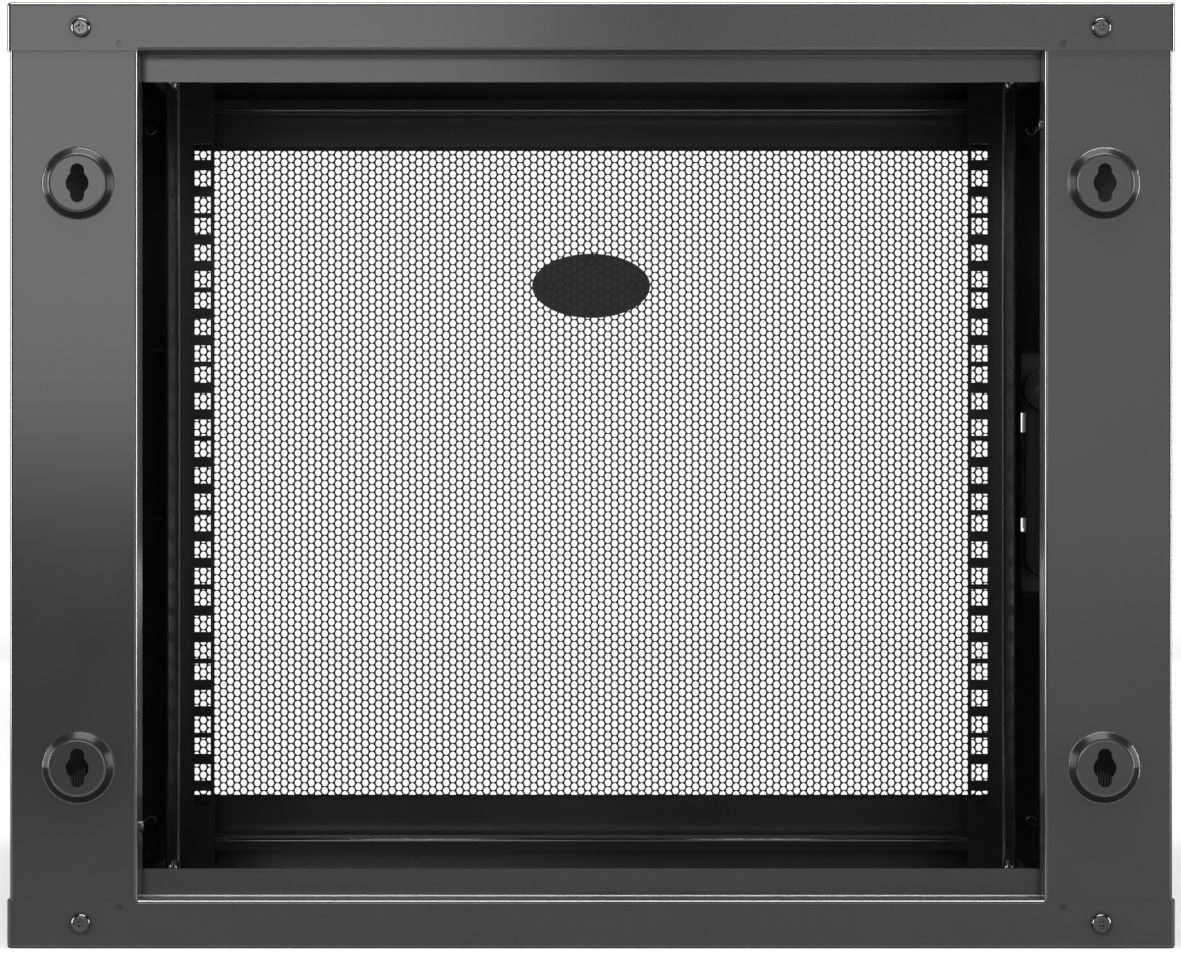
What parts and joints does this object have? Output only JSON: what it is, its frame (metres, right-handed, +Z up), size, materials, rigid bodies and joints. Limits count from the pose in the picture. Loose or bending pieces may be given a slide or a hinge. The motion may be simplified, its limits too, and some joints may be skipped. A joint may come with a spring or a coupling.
{
  "type": "wall-mount network rack cabinet",
  "caption": "Black sheet-steel wall cabinet for 19-inch network equipment, open at the back, with a hinged perforated door, adjustable rails and removable side panels.",
  "frame": {"origin": "middle of the cabinet's footprint at the underside of the floor panel, footprint taken over the whole object including handle and wall bosses", "axes": "+Z up, door and handle face -Y, wall side with the keyholes faces +Y, door hinge on the +X side, handle on the -X side"},
  "size_m": [0.6, 0.419, 0.486],
  "materials": {
    "badge_black": "satin paint",
    "door_black": "fine textured powder coat",
    "frame_black": "fine textured powder coat",
    "handle_black": "satin painted die casting look",
    "lock_chrome": "satin chrome",
    "mesh_black": "fine textured powder coat",
    "nylon_black": "moulded nylon",
    "rail_black": "fine textured powder coat",
    "rubber_black": "matte",
    "screw_black": "black zinc plating, glossy",
    "side_black": "fine textured powder coat",
    "spring_steel": "satin",
    "zinc_black": "black zinc plating"
  },
  "bodies": {
    "cabinet": {"roof_panel": "frame_black", "floor_panel": "frame_black", "roof_cable_cover": "frame_black", "floor_cable_cover": "frame_black", "cable_cover_screws": "screw_black", "rear_upright_hinge_side": "frame_black", "rear_upright_lock_side": "frame_black", "rear_corner_screws": "screw_black", "earth_screws": "spring_steel", "front_post_hinge_side": "frame_black", "front_post_lock_side": "frame_black", "front_post_bolts": "rail_black", "depth_bar_upper_hinge_side": "rail_black", "depth_bar_upper_lock_side": "rail_black", "depth_bar_lower_hinge_side": "rail_black", "depth_bar_lower_lock_side": "rail_black", "hinge_bracket_upper": "frame_black", "hinge_bracket_lower": "frame_black", "hinge_pin_upper": "spring_steel", "hinge_pin_lower": "spring_steel", "hinge_bracket_screws": "screw_black", "door_buffers": "rubber_black"},
    "rail_hinge_side": {"mounting_rail_hinge_side": "rail_black", "rail_bolts_hinge_side": "spring_steel", "rail_nuts_hinge_side": "zinc_black"},
    "rail_lock_side": {"mounting_rail_lock_side": "rail_black", "rail_bolts_lock_side": "spring_steel", "rail_nuts_lock_side": "zinc_black"},
    "side_panel_hinge_side": {"side_panel_hinge_side": "side_black", "side_latch_barrel_hinge_side": "zinc_black"},
    "side_panel_lock_side": {"side_panel_lock_side": "side_black", "side_latch_barrel_lock_side": "zinc_black"},
    "side_latch_hinge_side": {"side_latch_plug_hinge_side": "lock_chrome"},
    "side_latch_lock_side": {"side_latch_plug_lock_side": "lock_chrome"},
    "door": {"door_outer_frame": "door_black", "door_perforated_panel": "mesh_black", "door_inner_frame": "door_black", "door_hinge_bushes": "nylon_black", "badge_plate": "badge_black", "badge_push_nuts": "zinc_black", "handle_housing": "handle_black"},
    "handle_hub": {"handle_hub": "handle_black", "latch_tongue": "zinc_black", "latch_nut": "zinc_black", "handle_pivot_pin": "zinc_black"},
    "handle_grip": {"handle_grip": "handle_black"},
    "key_plug": {"handle_key_plug": "lock_chrome"}
  },
  "joints": [
    {"name": "door_hinge", "type": "hinge", "parent": "cabinet", "child": "door", "pos_m": [0.2915, -0.185, 0.243], "axis": [0, 0, 1], "range_deg": [0, 120]},
    {"name": "handle_turn", "type": "hinge", "parent": "door", "child": "handle_hub", "pos_m": [-0.275, -0.1965, 0.295], "axis": [0, -1, 0], "range_deg": [0, 90]},
    {"name": "handle_lift", "type": "hinge", "parent": "handle_hub", "child": "handle_grip", "pos_m": [-0.275, -0.2045, 0.295], "axis": [-1, 0, 0], "range_deg": [0, 32]},
    {"name": "key_turn", "type": "hinge", "parent": "door", "child": "key_plug", "pos_m": [-0.275, -0.1885, 0.1936], "axis": [0, -1, 0], "range_deg": [0, 90]},
    {"name": "rail_slide_hinge_side", "type": "slide", "parent": "cabinet", "child": "rail_hinge_side", "axis": [0, 1, 0], "range_m": [0, 0.2]},
    {"name": "rail_slide_lock_side", "type": "slide", "parent": "cabinet", "child": "rail_lock_side", "axis": [0, 1, 0], "range_m": [0, 0.2]},
    {"name": "side_panel_off_hinge_side", "type": "slide", "parent": "cabinet", "child": "side_panel_hinge_side", "axis": [1, 0, 0], "range_m": [0, 0.06]},
    {"name": "side_panel_off_lock_side", "type": "slide", "parent": "cabinet", "child": "side_panel_lock_side", "axis": [-1, 0, 0], "range_m": [0, 0.06]},
    {"name": "side_latch_turn_hinge_side", "type": "hinge", "parent": "side_panel_hinge_side", "child": "side_latch_hinge_side", "pos_m": [0.295, 0.0165, 0.43], "axis": [1, 0, 0], "range_deg": [0, 90]},
    {"name": "side_latch_turn_lock_side", "type": "hinge", "parent": "side_panel_lock_side", "child": "side_latch_lock_side", "pos_m": [-0.295, 0.0165, 0.43], "axis": [-1, 0, 0], "range_deg": [0, 90]}
  ]
}
